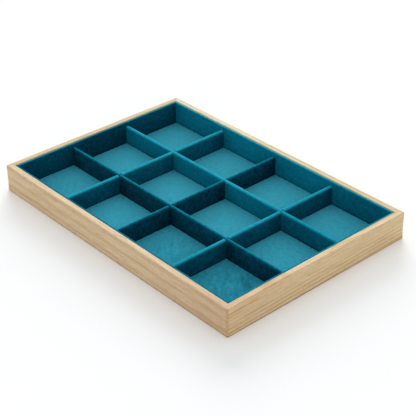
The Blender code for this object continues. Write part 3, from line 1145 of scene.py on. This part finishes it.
def hardboard():
    finish = Finish("brown_hardboard")
    place = object_place(finish)
    flecks = noise(finish, stretched(finish, place, (700, 1500, 700)), 1, detail=3, roughness=0.7)
    cross_flecks = noise(finish, stretched(finish, place, (1500, 600, 700)), 1, detail=3, roughness=0.7)
    cloud = noise(finish, place, 25, detail=2)
    tone = flecks * 0.4 + cross_flecks * 0.4 + cloud * 0.2
    finish.set(Base_Color=ramp(finish, tone, [(0.35, (0.13, 0.070, 0.034)), (0.5, (0.215, 0.125, 0.062)),
                                              (0.65, (0.31, 0.195, 0.105))]),
               Roughness=0.62 + (flecks - 0.5) * 0.3,
               Normal=bump(finish, tone, 0.05 * MM, 0.5))
    return finish


def grey_card():
    finish = Finish("grey_card")
    place = object_place(finish)
    fibres = noise(finish, stretched(finish, place, (500, 1200, 1200)), 1, detail=4, roughness=0.7)
    specks = smooth_step(finish, noise(finish, place, 1100, detail=1), 0.64, 0.72)
    base = ramp(finish, fibres, [(0.3, (0.24, 0.235, 0.22)), (0.7, (0.40, 0.385, 0.36))])
    finish.set(Base_Color=mix(finish, specks * 0.5, base, (0.55, 0.53, 0.48, 1)),
               Roughness=0.85 + (fibres - 0.5) * 0.2,
               Normal=bump(finish, fibres, 0.04 * MM, 0.6))
    return finish


def tongue_wood():
    finish = Finish("tongue_wood")
    place = object_place(finish, turn=math.pi / 4)
    streaks = noise(finish, stretched(finish, place, (150, 1500, 300)), 1, detail=3, roughness=0.6)
    bands = noise(finish, stretched(finish, place, (60, 500, 80)), 1, detail=1)
    finish.set(Base_Color=ramp(finish, streaks * 0.6 + bands * 0.4,
                               [(0.3, (0.46, 0.31, 0.17)), (0.7, (0.68, 0.52, 0.34))]),
               Roughness=0.66 + (streaks - 0.5) * 0.2,
               Normal=bump(finish, streaks, 0.03 * MM, 0.6))
    return finish


def drawn_steel():
    finish = Finish("drawn_steel")
    place = object_place(finish)
    marks = noise(finish, stretched(finish, place, (6000, 6000, 500)), 1, detail=2)
    finish.set(Base_Color=ramp(finish, marks, [(0.3, (0.50, 0.50, 0.51)), (0.7, (0.66, 0.66, 0.68))]),
               Roughness=0.30 + (marks - 0.5) * 0.25,
               Normal=bump(finish, marks, 0.01 * MM, 0.5), Metallic=1.0)
    return finish


board_finish = grey_card()
for name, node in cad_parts.items():
    if "board" in name:
        dress(node, board_finish)
dress(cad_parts["base_panel"], hardboard())
tongue_finish = tongue_wood()
for tongue in tongues:
    dress(tongue, tongue_finish)
steel_finish = drawn_steel()
for brad in brads.values():
    dress(brad, steel_finish)
print("Materials in all:", len(bpy.data.materials))

# %% [markdown]
# Putting the pieces to the model
#
# Each new piece is shaded smooth, hides the node of the model that it stands for, and moves with the tray.

# %% Hand over
SMOOTH_ANGLE = math.radians(35)


def hand_over(piece, node):
    pick_up(piece)
    bpy.ops.object.shade_smooth_by_angle(angle=SMOOTH_ANGLE)
    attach(piece, "root")
    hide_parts(node)


for side, rail in rails.items():
    hand_over(rail, "rail_" + side)
    apply_modifier(rail, "WEIGHTED_NORMAL", keep_sharp=True)
for number, (node, brad) in enumerate(brads.items(), start=1):
    brad.name = f"brad_{number:02}"
    hand_over(brad, node)

for node, (cover, flat) in sheets.items():
    hand_over(cover, node)
    held = "laid" if node == "floor_velvet" else "stretched"
print("Sheets declared:", len(sheets))

# %% [markdown]
# Floor and light
#
# The tray stands on a white surface that runs out of the picture, under soft light from all round. The
# world gives two thirds of it. A broad low lamp and a high one behind the tray give the short shadow in
# front and a paler front half to each compartment, and a weak low one on the camera's side lights the
# rails that look this way. A single strong lamp would draw hard edges that soft studio light doesn't
# have. Seen by the camera, the ground and the world are white, so round the tray only its shade shows.

# %% Floor
FLOOR_SIZE = 12.0
FLOOR_SEEN = (0.970, 0.990, 1.0, 1)
FLOOR_LIT = (0.86, 0.86, 0.86, 1)


def seen_directly(nodes):
    """1 for what the camera sees, straight, in a reflection or through something clear."""
    rays = nodes.node("ShaderNodeLightPath").socket.node
    kinds = ("Is Camera Ray", "Is Glossy Ray", "Is Transmission Ray")
    straight, reflected, through = [Number(nodes, rays.outputs[kind]) for kind in kinds]
    return nodes.maths("MAXIMUM", nodes.maths("MAXIMUM", straight, reflected), through)


put_down()
bpy.ops.mesh.primitive_plane_add(size=FLOOR_SIZE, location=(0, 0, 0))
ground = settle("ground")
ground_finish = Finish("white_ground")
ground_finish.set(Base_Color=mix(ground_finish, seen_directly(ground_finish), FLOOR_LIT, FLOOR_SEEN),
                  Roughness=1.0, Specular_IOR_Level=0.0)
dress(ground, ground_finish)
ground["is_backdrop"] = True

# %% World and lamps
WHITE = (1, 1, 1, 1)
WORLD_LIGHT = 0.68
LAMPS = {
    "low_behind": {"level": 0.22, "come_from": (-0.755, 0.656), "height": 20, "spread": 36},
    "high_behind": {"level": 0.09, "come_from": (-0.755, 0.656), "height": 70, "spread": 40},
    "camera_side": {"level": 0.042, "come_from": (0.70, -0.71), "height": 20, "spread": 50},
}


def light_world():
    """White to the camera, and the studio's own level to everything else."""
    world = bpy.data.worlds.new("studio")
    bpy.context.scene.world = world
    world.use_nodes = True
    sky = Nodes(world.node_tree)
    sky.tree.nodes.remove(sky.tree.nodes["Background"])
    studio = sky.node("ShaderNodeBackground", None, {"Color": WHITE, "Strength": WORLD_LIGHT})
    plain = sky.node("ShaderNodeBackground", None, {"Color": WHITE, "Strength": 1.0})
    blend = sky.node("ShaderNodeMixShader", None, {0: seen_directly(sky), 1: studio, 2: plain})
    sky.feed(sky.tree.nodes["World Output"].inputs["Surface"], blend)


def add_lamp(name, level, come_from, height, spread):
    """A soft lamp far away. Level is the light it adds on the ground, where 1 shows white as white."""
    lamp = bpy.data.lights.new(name, "SUN")
    lamp.energy = level * math.pi / math.sin(math.radians(height))
    lamp.angle = math.radians(spread)
    obj = bpy.data.objects.new(name, lamp)
    bpy.context.scene.collection.objects.link(obj)
    flat = Vector((*come_from, 0)).normalized() * math.cos(math.radians(height))
    towards = -(flat + Vector((0, 0, math.sin(math.radians(height)))))
    obj.rotation_mode = "QUATERNION"
    obj.rotation_quaternion = towards.to_track_quat("-Z", "Y")


light_world()
for name, lamp in LAMPS.items():
    add_lamp(name, **lamp)
bpy.context.scene.view_settings.view_transform = "Standard"
print("Light on the ground:", round(WORLD_LIGHT + sum(lamp["level"] for lamp in LAMPS.values()), 3))

# %% Finish
low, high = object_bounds()
print("Visual model, in mm:", in_mm(high - low, digits=2))
